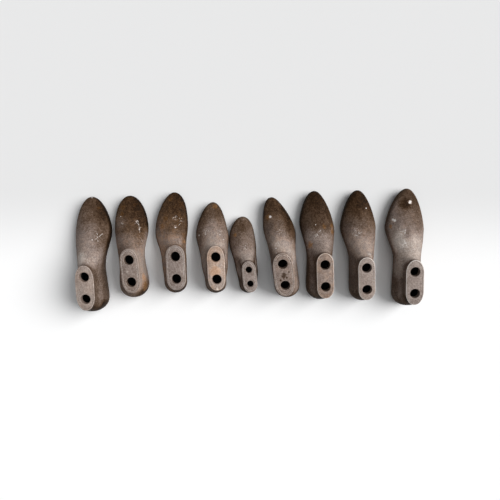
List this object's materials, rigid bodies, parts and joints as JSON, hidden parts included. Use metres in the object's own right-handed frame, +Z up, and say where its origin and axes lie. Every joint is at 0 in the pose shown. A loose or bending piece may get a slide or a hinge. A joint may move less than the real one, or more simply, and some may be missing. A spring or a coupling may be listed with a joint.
{
  "type": "shoe last",
  "caption": "Row of graded hollow cast shoe lasts, each standing on its sole, with a machined top plate pierced for the pins of a last jack.",
  "frame": {"origin": "on the floor under the middle of the row's bounding box", "axes": "+X along the row, +Y from the heels to the toes, +Z up"},
  "size_m": [0.8122, 0.2862, 0.0956],
  "materials": {
    "last_1_shell": "aged cast surface, satin, browned",
    "last_1_top_plate": "machined face, dulled",
    "last_2_shell": "aged cast surface, satin, browned",
    "last_2_top_plate": "machined face, dulled",
    "last_3_shell": "aged cast surface, satin, browned",
    "last_3_top_plate": "machined face, dulled",
    "last_4_shell": "aged cast surface, satin, browned",
    "last_4_top_plate": "machined face, dulled",
    "last_5_shell": "aged cast surface, satin, browned",
    "last_5_top_plate": "machined face, dulled",
    "last_6_shell": "aged cast surface, satin, browned",
    "last_6_top_plate": "machined face, dulled",
    "last_7_shell": "aged cast surface, satin, browned",
    "last_7_top_plate": "machined face, dulled",
    "last_8_shell": "aged cast surface, satin, browned",
    "last_8_top_plate": "machined face, dulled",
    "last_9_shell": "aged cast surface, satin, browned",
    "last_9_top_plate": "machined face, dulled"
  },
  "bodies": {
    "last_1": {"last_1_shell": "last_1_shell", "last_1_top_plate": "last_1_top_plate"},
    "last_2": {"last_2_shell": "last_2_shell", "last_2_top_plate": "last_2_top_plate"},
    "last_3": {"last_3_shell": "last_3_shell", "last_3_top_plate": "last_3_top_plate"},
    "last_4": {"last_4_shell": "last_4_shell", "last_4_top_plate": "last_4_top_plate"},
    "last_5": {"last_5_shell": "last_5_shell", "last_5_top_plate": "last_5_top_plate"},
    "last_6": {"last_6_shell": "last_6_shell", "last_6_top_plate": "last_6_top_plate"},
    "last_7": {"last_7_shell": "last_7_shell", "last_7_top_plate": "last_7_top_plate"},
    "last_8": {"last_8_shell": "last_8_shell", "last_8_top_plate": "last_8_top_plate"},
    "last_9": {"last_9_shell": "last_9_shell", "last_9_top_plate": "last_9_top_plate"}
  },
  "joints": [
    {"name": "last_2_lift", "type": "slide", "parent": "last_1", "child": "last_2", "axis": [0, 0, 1], "range_m": [0, 0.12]},
    {"name": "last_3_lift", "type": "slide", "parent": "last_1", "child": "last_3", "axis": [0, 0, 1], "range_m": [0, 0.12]},
    {"name": "last_4_lift", "type": "slide", "parent": "last_1", "child": "last_4", "axis": [0, 0, 1], "range_m": [0, 0.12]},
    {"name": "last_5_lift", "type": "slide", "parent": "last_1", "child": "last_5", "axis": [0, 0, 1], "range_m": [0, 0.12]},
    {"name": "last_6_lift", "type": "slide", "parent": "last_1", "child": "last_6", "axis": [0, 0, 1], "range_m": [0, 0.12]},
    {"name": "last_7_lift", "type": "slide", "parent": "last_1", "child": "last_7", "axis": [0, 0, 1], "range_m": [0, 0.12]},
    {"name": "last_8_lift", "type": "slide", "parent": "last_1", "child": "last_8", "axis": [0, 0, 1], "range_m": [0, 0.12]},
    {"name": "last_9_lift", "type": "slide", "parent": "last_1", "child": "last_9", "axis": [0, 0, 1], "range_m": [0, 0.12]}
  ]
}
